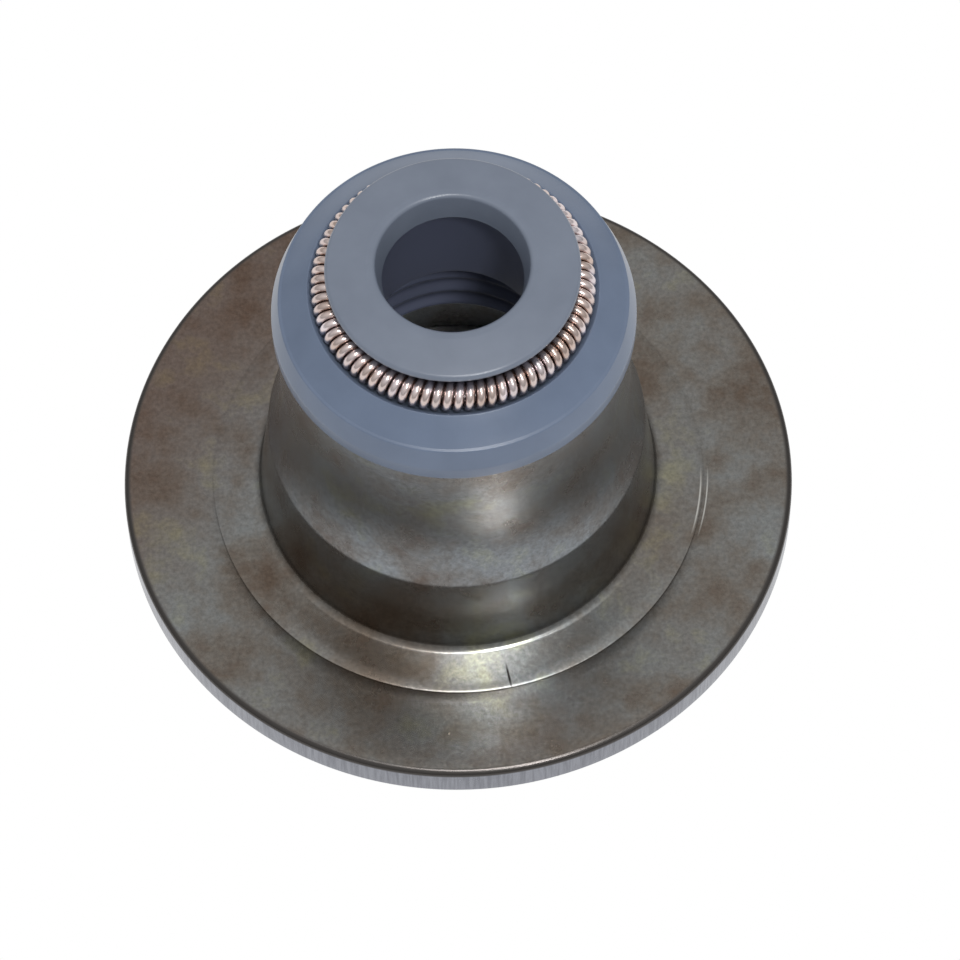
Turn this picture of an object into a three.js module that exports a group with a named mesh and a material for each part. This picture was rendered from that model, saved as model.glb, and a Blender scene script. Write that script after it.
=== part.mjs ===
// Valve stem seal with a spring seat, for a 7 mm stem. Millimetres, +Z up along the stem.
// The origin is on the stem's axis at the underside of the flange, where the seal stands on the
// cylinder head. It is three pieces: a steel case drawn from sheet, one rubber moulding bonded round
// and inside the top of the case, and the garter spring that presses the sealing lip to the stem.

import * as THREE from 'three';

// Steel case: the flange
const flangeRadius = 16;
const flangeThickness = 1.75;
const seatInnerRadius = 11.83; // the valve spring's end coil stands on the ring outside this radius
const seatDepth = 0.08; // that ring is coined below the rest of the flange, which centres the coil
const edgeRollover = 0.3; // the punch rounds the upper edge and leaves the lower one sharp

// Steel case: the wall, from the flange up
const wallThickness = 1;
const upperWallRadius = 8.1;
const shoulderRadius = 8.9; // where the flare bends into the lower wall
const lowerWallDraft = 6.5; // degrees, the lower wall widens towards the flange
const rootFillet = 0.45; // between the flange's upper face and the wall
const mouthBend = 1.4; // between the flange's underside and the bore of the case
const flareTopHeight = 11.8; // the wall starts to open out here
const flareRadius = 15;
const shoulderBendInside = 0.25; // the convex bend where the flare meets the lower wall
const caseHeight = 17.2;
const topPlateInnerRadius = 6;
const topBend = 0.8;

// Rubber: the outside
const collarRadius = 8.3;
const collarBottomHeight = 16.5;
const collarEdgeHeight = 17.84; // where the collar's wall and its sloping top would meet unrounded
const collarSlope = 32; // degrees
const collarRounding = 1.2;
const headRadius = 5.47;
const headRounding = 0.3;
const headSlope = 24; // degrees
const sealHeight = 21.45;

// Rubber: the bore, from the top down
const stemRadius = 3.5;
const lipInterference = 0.3; // the free lip is this much tighter than the stem
const lipHeight = 20.1;
const mouthRadius = 3.5;
const mouthRounding = 0.25;
const mouthLand = 0.4; // flat ring round the mouth, where the seal is highest
const chamberRadius = 4.1;
const lipBackHeight = 18.9; // the back of the lip reaches the chamber's wall here
const guideStopHeight = 13.7; // the top of the valve guide comes up to this shoulder
const guideBoreRadius = 5.5;
const gripRibHeight = 0.3;
const gripRibPitch = 1.2;
const gripRibs = 4;
const skirtHeight = 7.9; // the lower end of the rubber
const skirtLeadIn = 0.45;
const skirtWall = 1.3;
const bondEndAngle = 10; // degrees round the flare at which the rubber stops on the case

// Garter spring
const wireDiameter = 0.38;
const coilDiameter = 1.45;
const springRingRadius = 5.72;
const springHeight = 19.54;
const turnGap = 0.04; // between neighbouring turns at the inside of the ring
const grooveClearance = 0.05;
const grooveGap = 0.16; // open width of the groove outside the spring

// Fineness of the model
const flatsRound = 48; // a multiple of four, so that the widest points lie on X and Y
const coilSteps = 8;
const wireSides = 5;

const steel = new THREE.MeshStandardMaterial({ color: 0x6e6b62, roughness: 0.42, metalness: 0.9 });
const rubber = new THREE.MeshStandardMaterial({ color: 0x707a8a, roughness: 0.55, metalness: 0 });
const springWire = new THREE.MeshStandardMaterial({ color: 0xb8a59b, roughness: 0.3, metalness: 1 });

const radians = THREE.MathUtils.degToRad;

// Points on an arc in the section plane, angles in degrees from the radial direction towards +Z.
function arc(r, z, radius, from, to, steps) {
  return Array.from({ length: steps + 1 }, (_, i) => {
    const angle = radians(from + ((to - from) * i) / steps);
    return new THREE.Vector2(r + radius * Math.cos(angle), z + radius * Math.sin(angle));
  });
}

// A line through corners [r, z, rounding], where a corner with a rounding becomes a short curve.
function outline(corners, steps = 3) {
  const points = corners.map(([r, z]) => new THREE.Vector2(r, z));
  return points.flatMap((corner, i) => {
    const rounding = corners[i][2];
    if (!rounding) return [corner];
    const back = points[i - 1].clone().sub(corner);
    const ahead = points[i + 1].clone().sub(corner);
    const halfAngle = Math.acos(back.dot(ahead) / (back.length() * ahead.length())) / 2;
    const reach = Math.min(rounding / Math.tan(halfAngle), 0.48 * back.length(), 0.48 * ahead.length());
    const start = back.setLength(reach).add(corner);
    const end = ahead.setLength(reach).add(corner);
    return new THREE.QuadraticBezierCurve(start, corner, end).getPoints(steps);
  });
}

// Turns a closed section round the stem's axis.
function turned(section) {
  return new THREE.LatheGeometry([...section, section[0]], flatsRound).rotateX(Math.PI / 2);
}

// The flare is two tangent arcs: a wide one that opens outwards, then the bend into the lower wall.
const shoulderBend = shoulderBendInside + wallThickness;
const flareAngle = THREE.MathUtils.radToDeg(
  Math.acos(1 - (shoulderRadius - upperWallRadius) / (flareRadius + shoulderBend))
);
const flareDrop = (flareRadius + shoulderBend) * Math.sin(radians(flareAngle));
const flareCentreRadius = upperWallRadius + flareRadius;
const shoulderCentreRadius = shoulderRadius - shoulderBend;
const shoulderHeight = flareTopHeight - flareDrop;
const innerFlareRadius = flareRadius + wallThickness;

// The two arcs of a wall face, at its distance from the arcs' centres, and the drafted wall below them.
function shoulderArc(bend, from, to, steps) {
  return arc(shoulderCentreRadius, shoulderHeight, bend, from, to, steps);
}
function lowerWallRadius(bend, z) {
  const [start] = shoulderArc(bend, lowerWallDraft, 0, 1);
  return start.x + (start.y - z) * Math.tan(radians(lowerWallDraft));
}

// The faces of the case that the rubber is bonded to: outside, over the top plate and down the inside.
const bondedFace = [
  ...outline([
    [upperWallRadius, collarBottomHeight],
    [upperWallRadius, caseHeight, topBend],
    [topPlateInnerRadius, caseHeight],
    [topPlateInnerRadius, caseHeight - wallThickness],
    [upperWallRadius - wallThickness, caseHeight - wallThickness],
  ]),
  ...arc(flareCentreRadius, flareTopHeight, innerFlareRadius, 180, 180 + bondEndAngle, 2),
];

// Steel case: on from the bonded face, down the bore, out along the flange and up the outside.
const seatHeight = flangeThickness;
const flangeTop = seatHeight + seatDepth;
const caseSection = [
  ...bondedFace,
  ...arc(flareCentreRadius, flareTopHeight, innerFlareRadius, 180 + bondEndAngle, 180 + flareAngle, 2).slice(1),
  ...shoulderArc(shoulderBendInside, flareAngle, lowerWallDraft, 1).slice(1),
  ...outline([
    [lowerWallRadius(shoulderBendInside, shoulderHeight), shoulderHeight],
    [lowerWallRadius(shoulderBendInside, 0), 0, mouthBend],
    [flangeRadius, 0],
    [flangeRadius, seatHeight, edgeRollover],
    [seatInnerRadius, seatHeight],
    [seatInnerRadius - seatDepth, flangeTop],
    [lowerWallRadius(shoulderBend, flangeTop), flangeTop, rootFillet],
    [lowerWallRadius(shoulderBend, shoulderHeight), shoulderHeight],
  ]).slice(1, -1),
  ...shoulderArc(shoulderBend, lowerWallDraft, flareAngle, 2),
  ...arc(flareCentreRadius, flareTopHeight, flareRadius, 180 + flareAngle, 180, 4).slice(1),
];

// Rubber: the groove holds the inner side of the spring and leaves it open outside.
const coilRadius = coilDiameter / 2;
const grooveRadius = coilRadius + grooveClearance;
const grooveOuterRadius = springRingRadius + coilRadius + grooveGap;
const grooveFloorHeight = springHeight - grooveRadius;
const grooveEdgeHeight =
  collarEdgeHeight + (collarRadius - grooveOuterRadius) * Math.tan(radians(collarSlope));
const headFall = (headRadius - mouthRadius - mouthLand) * Math.tan(radians(headSlope));
const headEdgeHeight = sealHeight - headFall;
const grooveLipAngle = 125; // degrees, where the head's edge closes over the spring

const collarAndGroove = [
  ...outline([
    [upperWallRadius, collarBottomHeight],
    [collarRadius, collarBottomHeight],
    [collarRadius, collarEdgeHeight, collarRounding],
    [grooveOuterRadius, grooveEdgeHeight],
    [springRingRadius + coilRadius / 2, grooveFloorHeight],
  ]).slice(1),
  ...arc(springRingRadius, springHeight, grooveRadius, 270, grooveLipAngle, 5),
];

// Rubber: the head and the lip, with the lip's edge as the narrowest point of the bore.
const lipRadius = stemRadius - lipInterference;
const headAndLip = outline([
  [springRingRadius, springHeight + coilRadius],
  [headRadius, headEdgeHeight, headRounding],
  [mouthRadius + mouthLand, sealHeight],
  [mouthRadius, sealHeight, mouthRounding],
  [lipRadius, lipHeight],
  [chamberRadius, lipBackHeight],
  [chamberRadius, guideStopHeight],
], 2).slice(1);

// Rubber: the grip on the valve guide, ribs and the lead-in at the lower end.
function gripRib(index) {
  const z = guideStopHeight - gripRibPitch * (index + 1);
  return [
    [guideBoreRadius, z + gripRibPitch / 3],
    [guideBoreRadius - gripRibHeight, z],
    [guideBoreRadius, z - gripRibPitch / 3],
  ];
}
const guideBore = outline([
  [guideBoreRadius, guideStopHeight],
  ...Array.from({ length: gripRibs }, (_, i) => gripRib(i)).flat(),
  [guideBoreRadius + skirtLeadIn, skirtHeight],
  [guideBoreRadius + skirtWall, skirtHeight],
]);

const sealSection = [...bondedFace.slice(1).reverse(), bondedFace[0], ...collarAndGroove, ...headAndLip, ...guideBore];

// Garter spring: round wire wound into a coil whose two ends meet, swept as one closed loop. The
// section's frame turns with the coil, so the last ring of the sweep joins the first.
function garterSpring() {
  const windingRadius = (coilDiameter - wireDiameter) / 2;
  const insideLength = 2 * Math.PI * (springRingRadius - windingRadius);
  const turns = Math.floor(insideLength / (wireDiameter + turnGap));
  const rings = turns * coilSteps;
  const positions = [];
  const triangles = [];
  for (let i = 0; i < rings; i++) {
    const round = (2 * Math.PI * i) / rings;
    const wound = turns * round;
    const radial = new THREE.Vector3(Math.cos(round), Math.sin(round), 0);
    const along = new THREE.Vector3(-Math.sin(round), Math.cos(round), 0);
    const outward = radial.clone().multiplyScalar(Math.cos(wound)).setZ(Math.sin(wound));
    const rising = radial.clone().multiplyScalar(-Math.sin(wound)).setZ(Math.cos(wound));
    const centre = outward.clone().multiplyScalar(windingRadius).addScaledVector(radial, springRingRadius);
    const advance = springRingRadius + windingRadius * Math.cos(wound);
    const forward = rising.multiplyScalar(turns * windingRadius).addScaledVector(along, advance).normalize();
    const sideways = forward.clone().cross(outward);
    for (let j = 0; j < wireSides; j++) {
      const turn = (2 * Math.PI * j) / wireSides;
      const point = centre
        .clone()
        .addScaledVector(outward, (wireDiameter / 2) * Math.cos(turn))
        .addScaledVector(sideways, (wireDiameter / 2) * Math.sin(turn));
      positions.push(point.x, point.y, point.z + springHeight);
      const a = i * wireSides + j;
      const b = i * wireSides + ((j + 1) % wireSides);
      const c = ((i + 1) % rings) * wireSides + j;
      const d = ((i + 1) % rings) * wireSides + ((j + 1) % wireSides);
      triangles.push(a, b, c, b, d, c);
    }
  }
  const geometry = new THREE.BufferGeometry();
  geometry.setAttribute('position', new THREE.Float32BufferAttribute(positions, 3));
  geometry.setIndex(triangles);
  geometry.computeVertexNormals();
  return geometry;
}

function piece(name, geometry, material) {
  const mesh = new THREE.Mesh(geometry, material);
  mesh.name = name;
  return mesh;
}

const valveStemSeal = new THREE.Group();
valveStemSeal.add(
  piece('metal_case', turned(caseSection), steel),
  piece('rubber_seal', turned(sealSection), rubber),
  piece('garter_spring', garterSpring(), springWire)
);

export default valveStemSeal;
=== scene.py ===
"""Looks of a valve stem seal with a spring seat: a drawn steel case, a bonded rubber moulding with the
sealing lip, and a garter spring. Everything is in metres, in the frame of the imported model.
"""

import math

import bmesh
import bpy
from mathutils import Matrix, Vector


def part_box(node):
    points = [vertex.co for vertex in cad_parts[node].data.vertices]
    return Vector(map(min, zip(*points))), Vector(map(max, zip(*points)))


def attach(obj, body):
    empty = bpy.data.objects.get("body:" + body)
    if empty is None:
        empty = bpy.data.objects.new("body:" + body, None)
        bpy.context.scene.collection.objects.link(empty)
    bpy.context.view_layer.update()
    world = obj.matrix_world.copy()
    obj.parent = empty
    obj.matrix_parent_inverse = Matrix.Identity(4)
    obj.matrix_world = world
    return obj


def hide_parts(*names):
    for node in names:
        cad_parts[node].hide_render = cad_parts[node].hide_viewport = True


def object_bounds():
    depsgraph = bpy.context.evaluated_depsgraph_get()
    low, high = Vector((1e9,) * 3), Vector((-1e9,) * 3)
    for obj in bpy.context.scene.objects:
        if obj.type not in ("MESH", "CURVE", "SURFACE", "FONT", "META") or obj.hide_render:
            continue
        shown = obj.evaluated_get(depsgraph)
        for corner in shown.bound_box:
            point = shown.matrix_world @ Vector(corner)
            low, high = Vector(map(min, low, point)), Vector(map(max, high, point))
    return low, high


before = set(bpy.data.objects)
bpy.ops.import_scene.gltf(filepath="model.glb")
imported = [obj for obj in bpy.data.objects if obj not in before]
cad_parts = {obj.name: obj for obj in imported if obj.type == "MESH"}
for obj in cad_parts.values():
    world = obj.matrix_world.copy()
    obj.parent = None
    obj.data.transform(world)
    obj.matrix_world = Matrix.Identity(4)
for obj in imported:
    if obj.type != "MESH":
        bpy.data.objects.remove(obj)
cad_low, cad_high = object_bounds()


# Steel case
# One shell, drawn from sheet steel in several hits and trimmed by a punch. A thin zinc phosphate coat
# turned it a mottled brown grey, and only the sheared edge still shows bare metal.
MM = 0.001


def arc(centre, radius, start, end, steps):
    """Points on an arc in the section plane, angles in degrees from the radial direction upwards."""
    angles = [math.radians(start + (end - start) * i / steps) for i in range(steps + 1)]
    return [(centre[0] + radius * math.cos(a), centre[1] + radius * math.sin(a)) for a in angles]


def outline(corners, step_angle=8, longest_share=0.48):
    """A line through corners (r, z, rounding), with each rounding drawn as a true arc.

    A rounding takes at most the longest share of the straight on each side of its corner.
    """
    points = []
    for i, (r, z, *rounding) in enumerate(corners):
        corner = Vector((r, z))
        if not rounding:
            points.append((r, z))
            continue
        back = Vector(corners[i - 1][:2]) - corner
        ahead = Vector(corners[i + 1][:2]) - corner
        half = back.angle(ahead) / 2
        reach = min(rounding[0] / math.tan(half), longest_share * back.length, longest_share * ahead.length)
        radius = reach * math.tan(half)
        back.normalize()
        ahead.normalize()
        centre = corner + (back + ahead).normalized() * (radius / math.sin(half))
        start = corner + back * reach - centre
        turn = start.angle_signed(corner + ahead * reach - centre)
        steps = max(2, math.ceil(abs(math.degrees(turn)) / step_angle))
        for k in range(steps + 1):
            spoke = start.copy()
            spoke.rotate(Matrix.Rotation(-turn * k / steps, 2))
            points.append(tuple(centre + spoke))
    return points


def turned(name, section, longest=0.6 * MM, segments=288, sharp_angle=32):
    """A closed section turned round the stem's axis into a mesh object at the origin.

    Its straights are first divided into lengths up to the longest, so that shading stays even.
    """
    points = []
    for (r0, z0), (r1, z1) in zip(section, section[1:] + section[:1]):
        parts = max(1, math.ceil(math.hypot(r1 - r0, z1 - z0) / longest))
        points += [(r0 + (r1 - r0) * i / parts, z0 + (z1 - z0) * i / parts) for i in range(parts)]
    shape = bmesh.new()
    rings = []
    for i in range(segments):
        angle = 2 * math.pi * i / segments
        rings.append([shape.verts.new((r * math.cos(angle), r * math.sin(angle), z)) for r, z in points])
    count = len(points)
    for i in range(segments):
        here, there = rings[i], rings[(i + 1) % segments]
        for j in range(count):
            k = (j + 1) % count
            shape.faces.new((here[j], there[j], there[k], here[k]))
    bmesh.ops.recalc_face_normals(shape, faces=shape.faces)
    mesh = bpy.data.meshes.new(name)
    shape.to_mesh(mesh)
    shape.free()
    mesh.shade_smooth()
    mesh.set_sharp_from_angle(angle=math.radians(sharp_angle))
    piece = bpy.data.objects.new(name, mesh)
    bpy.context.scene.collection.objects.link(piece)
    return piece


case_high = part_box("metal_case")[1]
flange_radius = case_high[0]
case_height = case_high[2]
flange_thickness = 1.75 * MM
flange_rollover = 0.3 * MM
flange_foot_width = 0.06 * MM
flange_foot_height = 0.09 * MM
seat_inner_radius = 11.83 * MM
seat_depth = 0.08 * MM
crease_width = 0.22 * MM
crease_depth = 0.035 * MM
crease_rounding = 0.02 * MM
wall = 1.0 * MM
upper_wall_radius = 8.1 * MM
shoulder_radius = 8.9 * MM
lower_wall_draft = 6.5
root_bend = 0.45 * MM
underside_bend = 1.4 * MM
flare_top = 11.8 * MM
flare_radius = 15.0 * MM
shoulder_bend_inside = 0.25 * MM
top_plate_inner_radius = 6.0 * MM
top_plate_bend = 0.8 * MM
top_plate_bend_inside = 0.1 * MM
sheet_edge_rounding = 0.05 * MM
collar_bottom = 16.5 * MM
bond_end_angle = 10

shoulder_bend = shoulder_bend_inside + wall
flare_cosine = 1 - (shoulder_radius - upper_wall_radius) / (flare_radius + shoulder_bend)
flare_angle = math.degrees(math.acos(flare_cosine))
flare_centre = (upper_wall_radius + flare_radius, flare_top)
shoulder_centre = (
    shoulder_radius - shoulder_bend,
    flare_top - (flare_radius + shoulder_bend) * math.sin(math.radians(flare_angle)),
)


def lower_wall_radius(bend, z):
    """Radius at a height of the drafted lower wall's outer or inner face, which has this bend above it."""
    r, start_z = arc(shoulder_centre, bend, lower_wall_draft, 0, steps=1)[0]
    return r + (start_z - z) * math.tan(math.radians(lower_wall_draft))


bonded_face = outline([
    (upper_wall_radius, collar_bottom),
    (upper_wall_radius, case_height, top_plate_bend),
    (top_plate_inner_radius, case_height, sheet_edge_rounding),
    (top_plate_inner_radius, case_height - wall, sheet_edge_rounding),
    (upper_wall_radius - wall, case_height - wall, top_plate_bend_inside),
    (upper_wall_radius - wall, flare_top),
]) + arc(flare_centre, flare_radius + wall, 180, 180 + bond_end_angle, steps=6)[1:]

band_top = flange_thickness + seat_depth
case_section = (
    bonded_face
    + arc(flare_centre, flare_radius + wall, 180 + bond_end_angle, 180 + flare_angle, steps=6)[1:]
    + arc(shoulder_centre, shoulder_bend_inside, flare_angle, lower_wall_draft, steps=2)[1:]
    + outline([
        (lower_wall_radius(shoulder_bend_inside, shoulder_centre[1]), shoulder_centre[1]),
        (lower_wall_radius(shoulder_bend_inside, 0), 0, underside_bend),
        (flange_radius - flange_foot_width, 0, sheet_edge_rounding),
        (flange_radius, flange_foot_height, sheet_edge_rounding),
        (flange_radius, flange_thickness, flange_rollover),
        (seat_inner_radius, flange_thickness),
        (seat_inner_radius - crease_width / 2, flange_thickness - crease_depth, crease_rounding),
        (seat_inner_radius - crease_width, flange_thickness),
        (lower_wall_radius(shoulder_bend, band_top), band_top, root_bend),
        (lower_wall_radius(shoulder_bend, shoulder_centre[1]), shoulder_centre[1]),
    ])[1:-1]
    + arc(shoulder_centre, shoulder_bend, lower_wall_draft, flare_angle, steps=6)
    + arc(flare_centre, flare_radius, 180 + flare_angle, 180, steps=16)[1:]
)
metal_case = turned("steel_case", case_section)


def linear(hex_colour):
    """An sRGB hex colour as a linear RGBA tuple."""
    channels = [int(hex_colour[i:i + 2], 16) / 255 for i in (1, 3, 5)]
    return tuple(c / 12.92 if c <= 0.04045 else ((c + 0.055) / 1.055) ** 2.4 for c in channels) + (1.0,)


def add(tree, kind, inputs=None, stops=(), **settings):
    """Adds a node with its settings and the stops of its ramp, and links or sets the inputs named."""
    node = tree.nodes.new(kind)
    for name, value in settings.items():
        setattr(node, name, value)
    for socket, value in (inputs or {}).items():
        if isinstance(value, bpy.types.NodeSocket):
            tree.links.new(value, node.inputs[socket])
        else:
            node.inputs[socket].default_value = value
    for i, (position, colour) in enumerate(stops):
        elements = node.color_ramp.elements
        stop = elements[i] if i < len(elements) else elements.new(position)
        stop.position = position
        stop.color = colour
    return node


def new_material(name):
    """An empty material, its node tree and its surface shader."""
    material = bpy.data.materials.new(name)
    material.use_nodes = True
    tree = material.node_tree
    tree.nodes.clear()
    shader = add(tree, "ShaderNodeBsdfPrincipled")
    add(tree, "ShaderNodeOutputMaterial", {"Surface": shader.outputs["BSDF"]})
    return material, tree, shader


def turned_place(tree):
    """Object coordinates, the distance from the stem's axis, and the separate axes."""
    place = add(tree, "ShaderNodeTexCoord").outputs["Object"]
    axes = add(tree, "ShaderNodeSeparateXYZ", {0: place}).outputs
    flat_place = add(tree, "ShaderNodeCombineXYZ", {0: axes[0], 1: axes[1]}).outputs[0]
    radius = add(tree, "ShaderNodeVectorMath", {0: flat_place}, operation="LENGTH").outputs["Value"]
    return place, radius, axes


def band(tree, value, middle, half_width):
    """1 where the value lies within the half width of the middle, fading out just beyond it."""
    offset = add(tree, "ShaderNodeMath", {0: value, 1: middle}, operation="SUBTRACT").outputs[0]
    size = add(tree, "ShaderNodeMath", {0: offset}, operation="ABSOLUTE").outputs[0]
    return add(tree, "ShaderNodeMapRange", {
        "Value": size, "From Min": half_width * 1.5, "From Max": half_width * 0.5}).outputs[0]


# Zinc phosphate on drawn steel: a thin crystalline coat gives a satin metal whose brown, olive and grey
# patches are a few millimetres wide. The flange's left rear side is painted browner and darker, as a
# painted shadow of the cup cast away from the key lamp.
steel, tree, shader = new_material("phosphated_drawn_steel")
place, radius, axes = turned_place(tree)
angle = add(tree, "ShaderNodeMath", {0: axes[1], 1: axes[0]}, operation="ARCTAN2").outputs[0]

patch_width = 3.2 * MM
patches = add(tree, "ShaderNodeTexNoise", {
    "Vector": place, "Scale": 1 / patch_width, "Detail": 5.0, "Roughness": 0.62}).outputs[0]
patch_colour = add(tree, "ShaderNodeValToRGB", {"Fac": patches}, stops=[
    (0.28, linear("#6c635d")),
    (0.44, linear("#7d7c7b")),
    (0.56, linear("#85898d")),
    (0.72, linear("#939689")),
]).outputs["Color"]

tarnish_width = 9.0 * MM
tarnish_seed = 3.4
painted_shadow_side = (-0.75, 0.66, 0.0)
painted_shadow_from, painted_shadow_to = 0.35 * flange_radius, 0.85 * flange_radius
shoulder_fade = 0.3 * MM
tarnish = add(tree, "ShaderNodeTexNoise", {
    "Vector": place, "W": tarnish_seed, "Scale": 1 / tarnish_width, "Detail": 3.0, "Roughness": 0.6,
}, noise_dimensions="4D").outputs[0]
tarnish_tint = add(tree, "ShaderNodeValToRGB", {"Fac": tarnish}, stops=[
    (0.40, linear("#f9f6ef")),
    (0.64, linear("#e4d3c2")),
]).outputs["Color"]
# The flange's left rear side gets a browner, darker tint: painted shadow of the cup, cast away from the key
# lamp.
side = add(tree, "ShaderNodeVectorMath", {0: place, 1: painted_shadow_side}, operation="DOT_PRODUCT")
side_share = add(tree, "ShaderNodeMapRange", {
    "Value": side.outputs["Value"], "From Min": painted_shadow_from, "From Max": painted_shadow_to}).outputs[0]
tarnish_and_painted_shadow = add(tree, "ShaderNodeMix", {
    "Factor": side_share, "A": tarnish_tint, "B": linear("#d7bbaa")}, data_type="RGBA").outputs[2]
on_flange = add(tree, "ShaderNodeMapRange", {
    "Value": radius, "From Min": shoulder_radius, "From Max": shoulder_radius + shoulder_fade}).outputs[0]
tinted = add(tree, "ShaderNodeMix", {
    "Factor": on_flange, "A": patch_colour, "B": tarnish_and_painted_shadow}, data_type="RGBA", blend_type="MULTIPLY")

# The real crystals are about 0.02 mm wide, and are drawn ten times coarser so that they show.
crystal_width = 0.22 * MM
crystals = add(tree, "ShaderNodeTexNoise", {
    "Vector": place, "Scale": 1 / crystal_width, "Detail": 3.0, "Roughness": 0.7}).outputs[0]
crystal_shade = add(tree, "ShaderNodeMapRange", {
    "Value": crystals, "From Min": 0.3, "From Max": 0.7, "To Min": 0.8, "To Max": 1.2}).outputs[0]
coated = add(tree, "ShaderNodeMix", {
    "Factor": 1.0, "A": tinted.outputs[2], "B": crystal_shade}, data_type="RGBA", blend_type="MULTIPLY")

# The punch leaves upright score marks, about 0.15 mm apart, on the bare sheared land.
score_spacing = 0.15 * MM
score_length = 2.5 * MM
land_from, land_to = flange_radius - 0.12 * MM, flange_radius - 0.02 * MM
score_place = add(tree, "ShaderNodeCombineXYZ", {
    0: add(tree, "ShaderNodeMath", {0: angle, 1: flange_radius / score_spacing},
           operation="MULTIPLY").outputs[0],
    1: add(tree, "ShaderNodeMath", {0: axes[2], 1: 1 / score_length}, operation="MULTIPLY").outputs[0],
}).outputs[0]
scores = add(tree, "ShaderNodeTexNoise", {"Vector": score_place, "Scale": 1.0, "Detail": 2.0}).outputs[0]
sheared = add(tree, "ShaderNodeMapRange", {
    "Value": radius, "From Min": land_from, "From Max": land_to}).outputs[0]
bare_metal = add(tree, "ShaderNodeValToRGB", {"Fac": scores}, stops=[
    (0.35, linear("#767880")),
    (0.62, linear("#898b93")),
]).outputs["Color"]

# The colour is darker where the sheet rolled over above the land.
roll_from, roll_to = flange_radius - 0.34 * MM, flange_radius - 0.2 * MM
land_top, roll_bottom = 1.42 * MM, 1.52 * MM
rolled_over = add(tree, "ShaderNodeMapRange", {
    "Value": radius, "From Min": roll_from, "From Max": roll_to}).outputs[0]
above_land = add(tree, "ShaderNodeMapRange", {
    "Value": axes[2], "From Min": land_top, "From Max": roll_bottom}).outputs[0]
rollover = add(tree, "ShaderNodeMath", {0: rolled_over, 1: above_land}, operation="MULTIPLY").outputs[0]

# Handling left a dark nick across the band inside the crease. The light streaks along the crease on the
# right are painted glints of the key lamp on the crease's riser.
nick_angle = math.radians(-78.5)
nick_end = 11.4 * MM
nick_half_length = 0.5 * MM
nick_half_width = 0.045 * MM
nick = add(tree, "ShaderNodeMath", {
    0: band(tree, angle, nick_angle, nick_half_width / nick_end),
    1: band(tree, radius, nick_end - nick_half_length / 2, nick_half_length),
}, operation="MULTIPLY").outputs[0]
# Painted glints: light streaks on the crease's riser, on the side of the key lamp.
glint_angle, glint_half_angle = math.radians(-9), 0.11
inner_glint, outer_glint = (
    band(tree, radius, seat_inner_radius + offset, half_width)
    for offset, half_width in ((-0.2 * MM, 0.035 * MM), (0.12 * MM, 0.03 * MM)))
glint_lines = add(tree, "ShaderNodeMath", {0: inner_glint, 1: outer_glint}, operation="MAXIMUM")
painted_glint = add(tree, "ShaderNodeMath", {
    0: glint_lines.outputs[0], 1: band(tree, angle, glint_angle, glint_half_angle),
}, operation="MULTIPLY").outputs[0]

# Over the coat go the nick, the painted glints along the crease, the bare sheared land and the darker
# rollover.
colour = coated.outputs[2]
for share, over in ((nick, linear("#211d1b")), (painted_glint, linear("#c4c2bd")), (sheared, bare_metal),
                    (rollover, linear("#4e4b49"))):
    colour = add(tree, "ShaderNodeMix", {"Factor": share, "A": colour, "B": over},
                 data_type="RGBA").outputs[2]
tree.links.new(colour, shader.inputs["Base Color"])
shader.inputs["Metallic"].default_value = 1.0
roughness = add(tree, "ShaderNodeMapRange", {
    "Value": patches, "From Min": 0.3, "From Max": 0.7, "To Min": 0.29, "To Max": 0.22})
tree.links.new(roughness.outputs[0], shader.inputs["Roughness"])
grain_height, score_depth = 0.006 * MM, 0.03 * MM
grain_bump = add(tree, "ShaderNodeBump", {"Height": crystals, "Strength": 0.4, "Distance": grain_height})
scored = add(tree, "ShaderNodeMath", {0: scores, 1: sheared}, operation="MULTIPLY")
score_bump = add(tree, "ShaderNodeBump", {
    "Height": scored.outputs[0], "Strength": 0.8, "Distance": score_depth, "Normal": grain_bump.outputs[0]})
tree.links.new(score_bump.outputs[0], shader.inputs["Normal"])

metal_case.data.materials.append(steel)
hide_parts("metal_case")
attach(metal_case, "root")


# Rubber seal
# One moulding of blue-grey fluoroelastomer, cured in the mould round the top of the case. The head
# carries the sealing lip, and the ribbed bore below grips the valve guide.
seal_low, seal_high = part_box("rubber_seal")
spring_low, spring_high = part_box("garter_spring")
collar_radius = seal_high[0]
collar_taper_height = 17.3 * MM
collar_taper_rounding = 0.5 * MM
collar_top_radius = 7.95 * MM
collar_top_height = 18.35 * MM
collar_top_rounding = 0.1 * MM
collar_slope = math.radians(36)
parting_land = 0.14 * MM
mould_edge_rounding = 0.08 * MM
head_radius = 5.92 * MM
head_slope = math.radians(9.6)
head_rim_rounding = 0.22 * MM
mouth_radius = 3.5 * MM
mouth_land = 0.4 * MM
mouth_land_rounding = 0.4 * MM
mouth_rounding = 0.22 * MM
lip_radius = 3.2 * MM
lip_height = 20.1 * MM
lip_rounding = 0.06 * MM
lip_back_height = 18.9 * MM
chamber_radius = 4.1 * MM
chamber_rounding = 0.5 * MM
guide_stop = 13.7 * MM
guide_stop_rounding = 0.12 * MM
guide_bore_radius = 5.5 * MM
guide_bore_top = guide_stop - 0.6 * MM
rib_height = 0.3 * MM
rib_pitch = 1.2 * MM
rib_half_width = rib_pitch / 2.6
rib_count = 4
rib_steps = 6
skirt_lead_in = 0.45 * MM
skirt_wall = 1.3 * MM
skirt_edge_rounding = 0.15 * MM
skirt_foot_rounding = 0.3 * MM
groove_clearance = 0.05 * MM
groove_gap = 0.16 * MM
groove_edge_rounding = 0.06 * MM
groove_from, groove_to = 330, 125

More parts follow.
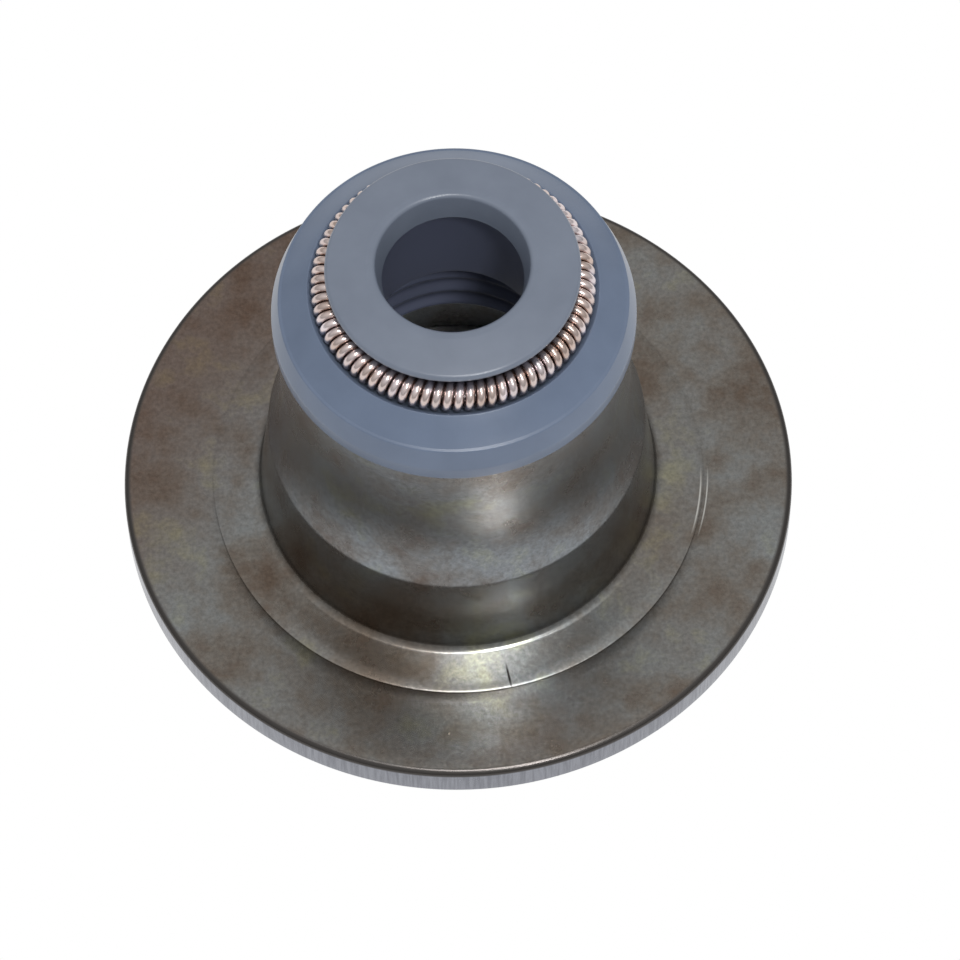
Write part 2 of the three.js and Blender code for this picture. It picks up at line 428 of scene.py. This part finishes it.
coil_radius = (spring_high[2] - spring_low[2]) / 2
spring_ring_radius = spring_high[0] - coil_radius
spring_centre = (spring_ring_radius, spring_high[2] - coil_radius)
groove_radius = coil_radius + groove_clearance
groove_outer_radius = spring_ring_radius + coil_radius + groove_gap
groove_edge = collar_top_height + (collar_top_radius - groove_outer_radius) * math.tan(collar_slope)
head_edge = seal_high[2] - (head_radius - mouth_radius - mouth_land) * math.tan(head_slope)
groove = arc(spring_centre, groove_radius, groove_from, groove_to, steps=24)

collar_and_groove = outline([
    (upper_wall_radius, collar_bottom),
    (collar_radius, collar_bottom, mould_edge_rounding),
    (collar_radius, collar_taper_height, collar_taper_rounding),
    (collar_top_radius, collar_top_height, collar_top_rounding),
    (collar_top_radius - parting_land, collar_top_height + parting_land / 4, mould_edge_rounding),
    (groove_outer_radius, groove_edge, groove_edge_rounding),
    groove[0],
])[1:-1] + groove
head_and_lip = outline([
    groove[-1],
    (head_radius, head_edge, head_rim_rounding),
    (mouth_radius + mouth_land, seal_high[2], mouth_land_rounding),
    (mouth_radius, seal_high[2], mouth_rounding),
    (lip_radius, lip_height, lip_rounding),
    (chamber_radius, lip_back_height, chamber_rounding),
    (chamber_radius, guide_stop, guide_stop_rounding),
    (guide_bore_radius, guide_stop, guide_stop_rounding),
    (guide_bore_radius, guide_bore_top),
])[1:-1]
ribs = []
for rib in range(rib_count):
    crest = guide_stop - rib_pitch * (rib + 1)
    for step in range(-rib_steps, rib_steps + 1):
        rise = 0.5 + 0.5 * math.cos(math.pi * step / rib_steps)
        ribs.append((guide_bore_radius - rib_height * rise, crest - rib_half_width * step / rib_steps))
skirt = outline([
    ribs[-1],
    (guide_bore_radius + skirt_lead_in, seal_low[2], skirt_edge_rounding),
    (guide_bore_radius + skirt_wall, seal_low[2], skirt_foot_rounding),
    bonded_face[-1],
])[1:-1]
seal_section = bonded_face[::-1] + collar_and_groove + head_and_lip + ribs + skirt
rubber_seal = turned("rubber_moulding", seal_section)

# Fluoroelastomer copied a polished mould: an even, slightly dull blue grey with a soft gloss. The collar
# is tinted a little darker and bluer than the head: painted shade on the collar, which faces the overhead
# light less than the head's top.
rubber, tree, shader = new_material("moulded_fluoroelastomer")
place, radius, axes = turned_place(tree)
cloud_width = 2.5 * MM
clouds = add(tree, "ShaderNodeTexNoise", {
    "Vector": place, "Scale": 1 / cloud_width, "Detail": 4.0, "Roughness": 0.55}).outputs[0]
cloud_colour = add(tree, "ShaderNodeValToRGB", {"Fac": clouds}, stops=[
    (0.3, linear("#646c7a")),
    (0.7, linear("#6c7482")),
]).outputs["Color"]
# Painted shade: the collar is tinted darker and bluer than the head.
on_collar = add(tree, "ShaderNodeMapRange", {
    "Value": radius, "From Min": spring_ring_radius, "From Max": groove_outer_radius}).outputs[0]
bluer_painted_shade = add(tree, "ShaderNodeMix", {
    "Factor": on_collar, "A": cloud_colour, "B": linear("#e4f0ff")}, data_type="RGBA", blend_type="MULTIPLY")

# The inner faces below the lip get a bluer grey of their own: painted shade for the dim inside of the bore.
inside_shade_radius = chamber_radius * 1.1
inside_shade_height = guide_stop * 1.02
lip_fade = 0.3 * MM
in_chamber = add(tree, "ShaderNodeMath", {0: radius, 1: inside_shade_radius}, operation="LESS_THAN").outputs[0]
below_stop = add(tree, "ShaderNodeMath", {0: axes[2], 1: inside_shade_height}, operation="LESS_THAN").outputs[0]
inner_face = add(tree, "ShaderNodeMath", {0: in_chamber, 1: below_stop}, operation="MAXIMUM").outputs[0]
below_lip = add(tree, "ShaderNodeMapRange", {
    "Value": axes[2], "From Min": lip_height, "From Max": lip_height - lip_fade}).outputs[0]
painted_inside_shade = add(tree, "ShaderNodeMath", {0: inner_face, 1: below_lip}, operation="MULTIPLY").outputs[0]
rubber_colour = add(tree, "ShaderNodeMix", {
    "Factor": painted_inside_shade, "A": bluer_painted_shade.outputs[2], "B": linear("#686e84")}, data_type="RGBA")
tree.links.new(rubber_colour.outputs[2], shader.inputs["Base Color"])
shader.inputs["Roughness"].default_value = 0.3

# The mould's polish left marks of a few hundredths of a millimetre, drawn coarser so that they show.
speck_width, speck_height = 0.12 * MM, 0.004 * MM
specks = add(tree, "ShaderNodeTexNoise", {
    "Vector": place, "Scale": 1 / speck_width, "Detail": 2.0, "Roughness": 0.5}).outputs[0]
skin = add(tree, "ShaderNodeBump", {"Height": specks, "Strength": 0.4, "Distance": speck_height})
tree.links.new(skin.outputs[0], shader.inputs["Normal"])

rubber_seal.data.materials.append(rubber)
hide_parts("rubber_seal")
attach(rubber_seal, "root")


# Garter spring
# Round spring wire, close wound on a mandrel, with the ends screwed together into a ring. It sits in
# the groove and presses the lip on the stem.
wire_diameter = 0.42 * MM
turn_gap = 0.004 * MM
winding_radius = coil_radius - wire_diameter / 2
turns = math.floor(2 * math.pi * (spring_ring_radius - winding_radius) / (wire_diameter + turn_gap))

# Drawn wire, bright with a faint pink tint where the drawing lubricant stained it. Each turn is a little
# lighter or darker than the next.
wire_metal, tree, shader = new_material("drawn_spring_wire")
turn_number = add(tree, "ShaderNodeAttribute", attribute_name="turn").outputs["Fac"]
whole_turn = add(tree, "ShaderNodeMath", {0: turn_number}, operation="FLOOR").outputs[0]
per_turn = add(tree, "ShaderNodeTexWhiteNoise", {"W": whole_turn}, noise_dimensions="1D").outputs["Value"]
place = add(tree, "ShaderNodeTexCoord").outputs["Object"]
stain_width = 1.4 * MM
stains = add(tree, "ShaderNodeTexNoise", {
    "Vector": place, "Scale": 1 / stain_width, "Detail": 3.0}).outputs[0]
stain_colour = add(tree, "ShaderNodeValToRGB", {"Fac": stains}, stops=[
    (0.34, linear("#cdb8ae")),
    (0.52, linear("#dccdca")),
    (0.68, linear("#e4dbe0")),
]).outputs["Color"]
turn_shade = add(tree, "ShaderNodeMapRange", {"Value": per_turn, "To Min": 0.9, "To Max": 1.06}).outputs[0]
wire_colour = add(tree, "ShaderNodeMix", {
    "Factor": 1.0, "A": stain_colour, "B": turn_shade}, data_type="RGBA", blend_type="MULTIPLY")
tree.links.new(wire_colour.outputs[2], shader.inputs["Base Color"])
shader.inputs["Metallic"].default_value = 1.0
shader.inputs["Roughness"].default_value = 0.24

winding = bpy.data.node_groups.new("garter_spring_winding", "GeometryNodeTree")
winding_inputs = {
    "Ring Radius": ("NodeSocketFloat", spring_ring_radius),
    "Winding Radius": ("NodeSocketFloat", winding_radius),
    "Wire Radius": ("NodeSocketFloat", wire_diameter / 2),
    "Height": ("NodeSocketFloat", spring_centre[1]),
    "Turns": ("NodeSocketInt", turns),
    "Steps a Turn": ("NodeSocketInt", 20),
    "Wire Sides": ("NodeSocketInt", 12),
    "Metal": ("NodeSocketMaterial", wire_metal),
}
for name, (kind, value) in winding_inputs.items():
    winding.interface.new_socket(name, in_out="INPUT", socket_type=kind)
winding.interface.new_socket("Spring", in_out="OUTPUT", socket_type="NodeSocketGeometry")
given = add(winding, "NodeGroupInput").outputs
steps = add(winding, "ShaderNodeMath", {
    0: given["Turns"], 1: given["Steps a Turn"]}, operation="MULTIPLY").outputs[0]
loop = add(winding, "GeometryNodeCurvePrimitiveCircle", {"Resolution": steps})
index = add(winding, "GeometryNodeInputIndex").outputs[0]
share = add(winding, "ShaderNodeMath", {0: index, 1: steps}, operation="DIVIDE").outputs[0]
around = add(winding, "ShaderNodeMath", {0: share, 1: 2 * math.pi}, operation="MULTIPLY").outputs[0]
turn = add(winding, "ShaderNodeMath", {0: share, 1: given["Turns"]}, operation="MULTIPLY").outputs[0]
wound = add(winding, "ShaderNodeMath", {0: turn, 1: 2 * math.pi}, operation="MULTIPLY").outputs[0]
cos_around, sin_around, cos_wound, sin_wound = (
    add(winding, "ShaderNodeMath", {0: swept}, operation=way).outputs[0]
    for swept in (around, wound) for way in ("COSINE", "SINE"))
reach, rise = (
    add(winding, "ShaderNodeMath", {0: swing, 1: given["Winding Radius"], 2: given[middle]},
        operation="MULTIPLY_ADD").outputs[0]
    for swing, middle in ((cos_wound, "Ring Radius"), (sin_wound, "Height")))
path_point = add(winding, "ShaderNodeCombineXYZ", {
    0: add(winding, "ShaderNodeMath", {0: reach, 1: cos_around}, operation="MULTIPLY").outputs[0],
    1: add(winding, "ShaderNodeMath", {0: reach, 1: sin_around}, operation="MULTIPLY").outputs[0],
    2: rise,
}).outputs[0]
path = add(winding, "GeometryNodeSetPosition", {"Geometry": loop.outputs["Curve"], "Position": path_point})
numbered = add(winding, "GeometryNodeStoreNamedAttribute", {
    "Geometry": path.outputs[0], "Name": "turn", "Value": turn}, data_type="FLOAT", domain="POINT")
wire_section = add(winding, "GeometryNodeCurvePrimitiveCircle", {
    "Resolution": given["Wire Sides"], "Radius": given["Wire Radius"]})
wire = add(winding, "GeometryNodeCurveToMesh", {
    "Curve": numbered.outputs[0], "Profile Curve": wire_section.outputs["Curve"]})
smooth = add(winding, "GeometryNodeSetShadeSmooth", {"Geometry": wire.outputs[0]})
whole = add(winding, "GeometryNodeRealizeInstances", {0: smooth.outputs[0]})
finished = add(winding, "GeometryNodeSetMaterial", {
    "Geometry": whole.outputs[0], "Material": given["Metal"]})
add(winding, "NodeGroupOutput", {0: finished.outputs[0]})

winder = bpy.data.objects.new("winder", bpy.data.meshes.new("winder"))
bpy.context.scene.collection.objects.link(winder)
modifier = winder.modifiers.new("winding", "NODES")
modifier.node_group = winding
for item in winding.interface.items_tree:
    if item.name in winding_inputs:
        modifier[item.identifier] = winding_inputs[item.name][1]
spring_mesh = bpy.data.meshes.new_from_object(winder.evaluated_get(bpy.context.evaluated_depsgraph_get()))
bpy.data.objects.remove(winder)
spring_mesh.name = "wound_spring"
wound_spring = bpy.data.objects.new("wound_spring", spring_mesh)
bpy.context.scene.collection.objects.link(wound_spring)
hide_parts("garter_spring")
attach(wound_spring, "root")


# Floor
# A plain white matt sheet under the part, which carries the part's soft shadow. The camera and the metal
# see it as white outside the flange, and it doesn't glow under the bore.
sheet_size = 4.0
sheet_gap = 0.02 * MM
bpy.ops.mesh.primitive_plane_add(size=sheet_size, location=(0, 0, cad_low[2] - sheet_gap))
floor = bpy.context.object
floor.name = "floor"
white_sheet, tree, shader = new_material("white_sheet")
shader.inputs["Base Color"].default_value = linear("#f4f4f4")
shader.inputs["Roughness"].default_value = 0.9
shader.inputs["Specular IOR Level"].default_value = 0.0
path_kind = add(tree, "ShaderNodeLightPath").outputs
seen = add(tree, "ShaderNodeMath", {
    0: path_kind["Is Camera Ray"], 1: path_kind["Is Glossy Ray"]}, operation="MAXIMUM").outputs[0]
glow = add(tree, "ShaderNodeEmission", {"Color": linear("#ffffff"), "Strength": 1.0}).outputs[0]
from_axis = turned_place(tree)[1]
clear_of_part = add(tree, "ShaderNodeMapRange", {
    "Value": from_axis, "From Min": flange_radius * 0.9, "From Max": flange_radius}).outputs[0]
lift = add(tree, "ShaderNodeMath", {0: seen, 1: clear_of_part}, operation="MULTIPLY").outputs[0]
sheet_mix = add(tree, "ShaderNodeMixShader", {0: lift, 1: shader.outputs[0], 2: glow}).outputs[0]
output = next(node for node in tree.nodes if node.type == "OUTPUT_MATERIAL")
tree.links.new(sheet_mix, output.inputs["Surface"])
floor.data.materials.append(white_sheet)


# Surroundings
# A white room, lit more from overhead than from the horizon. The camera sees it at full strength, and
# the part is lit by less.
horizon_strength, overhead_strength, seen_strength = 0.38, 0.82, 1.0
room = bpy.data.worlds.new("white_room")
bpy.context.scene.world = room
room.use_nodes = True
tree = room.node_tree
tree.nodes.clear()
seen = add(tree, "ShaderNodeLightPath").outputs["Is Camera Ray"]
direction = add(tree, "ShaderNodeTexCoord").outputs["Generated"]
upward = add(tree, "ShaderNodeSeparateXYZ", {0: direction}).outputs[2]
lit = add(tree, "ShaderNodeMapRange", {
    "Value": upward, "To Min": horizon_strength, "To Max": overhead_strength}).outputs[0]
strength = add(tree, "ShaderNodeMix", {
    "Factor": seen, "A": lit, "B": seen_strength}, data_type="FLOAT").outputs[0]
backdrop = add(tree, "ShaderNodeBackground", {"Color": linear("#ffffff"), "Strength": strength})
add(tree, "ShaderNodeOutputWorld", {"Surface": backdrop.outputs[0]})


# Lamps
# Two small square lamps stand to the right of the camera. The key lamp, about as high as the camera,
# lights the case's wall and the spring, and the high lamp lights the band inside the crease.
def lamp(name, azimuth, elevation, size, power, distance=0.35):
    """A square lamp aimed at the part; azimuth 0 is the camera's side, and it grows to the right."""
    light = bpy.data.lights.new(name, "AREA")
    light.size = size
    light.energy = power
    holder = bpy.data.objects.new(name, light)
    a, e = math.radians(azimuth), math.radians(elevation)
    direction = Vector((math.sin(a) * math.cos(e), -math.cos(a) * math.cos(e), math.sin(e)))
    holder.location = direction * distance + Vector((0, 0, cad_high[2] / 2))
    holder.rotation_euler = direction.to_track_quat("Z", "Y").to_euler()
    bpy.context.scene.collection.objects.link(holder)


lamp("key_lamp", azimuth=25, elevation=60, size=0.045, power=0.33)
lamp("high_lamp", azimuth=20, elevation=79, size=0.09, power=0.35)


# Camera
# Placed as the photograph was taken: square to the part's front, 62 degrees above the horizon and 260 mm
# away, with a long lens and a slight roll.
camera_elevation = math.radians(61.809)
camera_roll = math.radians(1.07)
camera_distance = 260 * MM
focal_length_px = 5393.4
image_px = 960
aim_right, aim_up = 1.044 * MM, 0.418 * MM
sight_back = Vector((0, -math.cos(camera_elevation), math.sin(camera_elevation)))
sight_up = Vector((0, math.sin(camera_elevation), math.cos(camera_elevation)))
sight_right = Vector((1, 0, 0))
camera_data = bpy.data.cameras.new("camera")
camera_data.sensor_width = 36
camera_data.lens = focal_length_px / image_px * camera_data.sensor_width
camera_data.clip_start = 0.01
camera = bpy.data.objects.new("camera", camera_data)
bpy.context.scene.collection.objects.link(camera)
right = sight_right * math.cos(camera_roll) - sight_up * math.sin(camera_roll)
up = sight_right * math.sin(camera_roll) + sight_up * math.cos(camera_roll)
facing = Matrix((right, up, sight_back)).transposed().to_4x4()
aim = sight_right * aim_right + sight_up * aim_up
camera.matrix_world = Matrix.Translation(aim + sight_back * camera_distance) @ facing
bpy.context.scene.camera = camera
bpy.context.scene.view_settings.view_transform = "Standard"
